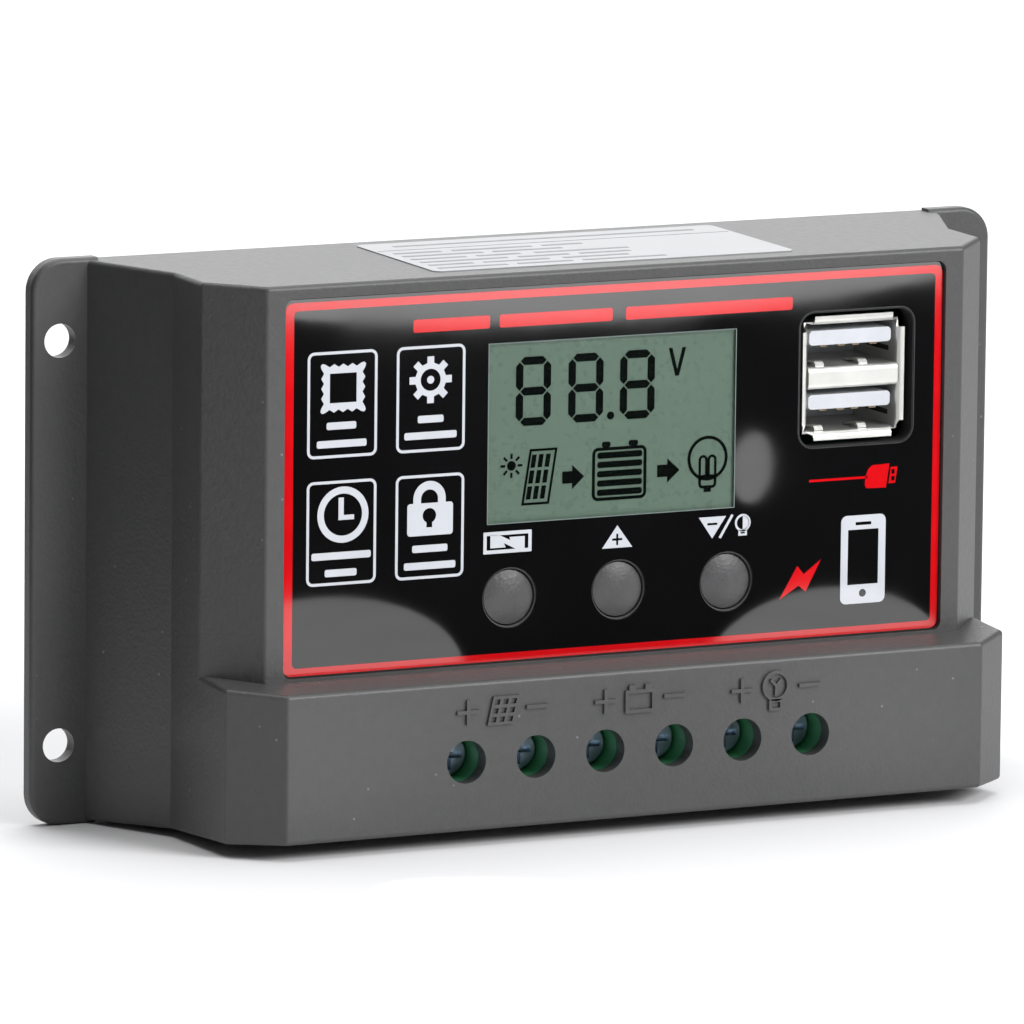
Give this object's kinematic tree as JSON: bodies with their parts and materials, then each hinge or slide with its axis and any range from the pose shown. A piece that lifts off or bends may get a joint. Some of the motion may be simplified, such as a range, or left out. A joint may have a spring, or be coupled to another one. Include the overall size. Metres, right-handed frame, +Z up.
{
  "type": "charge controller",
  "caption": "Wall-mounted solar charge controller with a display, push buttons, stacked USB sockets and clamp terminals for panel, battery and load.",
  "frame": {"origin": "on the wall plane, at the centre of the four mounting holes", "axes": "+X to the right seen from the front, +Y into the wall, +Z up"},
  "size_m": [0.1334, 0.035, 0.07],
  "materials": {
    "case_plastic": "satin, finely textured black",
    "cover_plastic": "fine texture, black",
    "screw_steel": "zinc plated",
    "printed_film": "glossy printed film, black",
    "clear_film": "clear glossy film",
    "label_paper": "white sticker",
    "lcd_glass": "grey-green display glass",
    "diffuser": "milky light guide",
    "tinned_metal": "tinned",
    "gold_contact": "gold flash",
    "button_plastic": "satin dark grey",
    "switch_plastic": "black",
    "stamped_steel": "bright stamped sheet",
    "white_plastic": "white moulding",
    "terminal_plastic": "green moulding",
    "terminal_metal": "nickel plated",
    "board_laminate": "green solder mask",
    "chip_epoxy": "black moulding",
    "capacitor_metal": "drawn can",
    "rubber_bung": "matt",
    "ferrite": "grey",
    "shunt_alloy": "bright alloy strip",
    "resistor_body": "black glaze",
    "capacitor_ceramic": "tan"
  },
  "bodies": {
    "case": {"back_cover": "cover_plastic", "board_screws": "screw_steel", "capacitor_bases": "rubber_bung", "capacitor_cans": "capacitor_metal", "case_screws": "screw_steel", "chip_capacitors": "capacitor_ceramic", "chip_resistors": "resistor_body", "circuit_board": "board_laminate", "controller_chip": "chip_epoxy", "controller_leads": "tinned_metal", "converter_chip": "chip_epoxy", "converter_leads": "tinned_metal", "crystal": "stamped_steel", "diodes": "chip_epoxy", "display_window": "clear_film", "front_overlay": "printed_film", "front_shell": "case_plastic", "inductor": "ferrite", "lcd_backlight": "diffuser", "lcd_glass": "lcd_glass", "lcd_pins": "tinned_metal", "mosfet_bodies": "chip_epoxy", "mosfet_leads": "tinned_metal", "mosfet_tabs": "tinned_metal", "shunts": "shunt_alloy", "switch_bases": "switch_plastic", "switch_covers": "stamped_steel", "switch_pins": "tinned_metal", "terminal_bars": "tinned_metal", "terminal_block": "terminal_plastic", "top_label": "label_paper", "usb_contacts": "gold_contact", "usb_insulator": "white_plastic", "usb_shell": "stamped_steel"},
    "button_1": {"button_cap_1": "button_plastic", "switch_plunger_1": "switch_plastic"},
    "button_2": {"button_cap_2": "button_plastic", "switch_plunger_2": "switch_plastic"},
    "button_3": {"button_cap_3": "button_plastic", "switch_plunger_3": "switch_plastic"},
    "clamp_screw_1": {"terminal_screw_1": "screw_steel"},
    "clamp_cage_1": {"terminal_cage_1": "terminal_metal"},
    "clamp_screw_2": {"terminal_screw_2": "screw_steel"},
    "clamp_cage_2": {"terminal_cage_2": "terminal_metal"},
    "clamp_screw_3": {"terminal_screw_3": "screw_steel"},
    "clamp_cage_3": {"terminal_cage_3": "terminal_metal"},
    "clamp_screw_4": {"terminal_screw_4": "screw_steel"},
    "clamp_cage_4": {"terminal_cage_4": "terminal_metal"},
    "clamp_screw_5": {"terminal_screw_5": "screw_steel"},
    "clamp_cage_5": {"terminal_cage_5": "terminal_metal"},
    "clamp_screw_6": {"terminal_screw_6": "screw_steel"},
    "clamp_cage_6": {"terminal_cage_6": "terminal_metal"}
  },
  "joints": [
    {"name": "button_1_press", "type": "slide", "parent": "case", "child": "button_1", "axis": [0, 1, 0], "range_m": [0, 0.0004], "stiffness_N_per_m": 2000, "springref_m": -0.0003},
    {"name": "button_2_press", "type": "slide", "parent": "case", "child": "button_2", "axis": [0, 1, 0], "range_m": [0, 0.0004], "stiffness_N_per_m": 2000, "springref_m": -0.0003},
    {"name": "button_3_press", "type": "slide", "parent": "case", "child": "button_3", "axis": [0, 1, 0], "range_m": [0, 0.0004], "stiffness_N_per_m": 2000, "springref_m": -0.0003},
    {"name": "clamp_screw_1_turn", "type": "hinge", "parent": "case", "child": "clamp_screw_1", "pos_m": [-0.02375, -0.028, -0.02445], "axis": [0, 1, 0], "range_deg": [0, 1800]},
    {"name": "clamp_cage_1_rise", "type": "slide", "parent": "case", "child": "clamp_cage_1", "axis": [0, -1, 0], "range_m": [0, 0.003]},
    {"name": "clamp_screw_2_turn", "type": "hinge", "parent": "case", "child": "clamp_screw_2", "pos_m": [-0.01425, -0.028, -0.02445], "axis": [0, 1, 0], "range_deg": [0, 1800]},
    {"name": "clamp_cage_2_rise", "type": "slide", "parent": "case", "child": "clamp_cage_2", "axis": [0, -1, 0], "range_m": [0, 0.003]},
    {"name": "clamp_screw_3_turn", "type": "hinge", "parent": "case", "child": "clamp_screw_3", "pos_m": [-0.00475, -0.028, -0.02445], "axis": [0, 1, 0], "range_deg": [0, 1800]},
    {"name": "clamp_cage_3_rise", "type": "slide", "parent": "case", "child": "clamp_cage_3", "axis": [0, -1, 0], "range_m": [0, 0.003]},
    {"name": "clamp_screw_4_turn", "type": "hinge", "parent": "case", "child": "clamp_screw_4", "pos_m": [0.00475, -0.028, -0.02445], "axis": [0, 1, 0], "range_deg": [0, 1800]},
    {"name": "clamp_cage_4_rise", "type": "slide", "parent": "case", "child": "clamp_cage_4", "axis": [0, -1, 0], "range_m": [0, 0.003]},
    {"name": "clamp_screw_5_turn", "type": "hinge", "parent": "case", "child": "clamp_screw_5", "pos_m": [0.01425, -0.028, -0.02445], "axis": [0, 1, 0], "range_deg": [0, 1800]},
    {"name": "clamp_cage_5_rise", "type": "slide", "parent": "case", "child": "clamp_cage_5", "axis": [0, -1, 0], "range_m": [0, 0.003]},
    {"name": "clamp_screw_6_turn", "type": "hinge", "parent": "case", "child": "clamp_screw_6", "pos_m": [0.02375, -0.028, -0.02445], "axis": [0, 1, 0], "range_deg": [0, 1800]},
    {"name": "clamp_cage_6_rise", "type": "slide", "parent": "case", "child": "clamp_cage_6", "axis": [0, -1, 0], "range_m": [0, 0.003]}
  ],
  "couplings": [
    {"joint": "clamp_screw_1_turn", "follows": "clamp_cage_1_rise", "rad_per_m": 10472},
    {"joint": "clamp_screw_2_turn", "follows": "clamp_cage_2_rise", "rad_per_m": 10472},
    {"joint": "clamp_screw_3_turn", "follows": "clamp_cage_3_rise", "rad_per_m": 10472},
    {"joint": "clamp_screw_4_turn", "follows": "clamp_cage_4_rise", "rad_per_m": 10472},
    {"joint": "clamp_screw_5_turn", "follows": "clamp_cage_5_rise", "rad_per_m": 10472},
    {"joint": "clamp_screw_6_turn", "follows": "clamp_cage_6_rise", "rad_per_m": 10472}
  ]
}
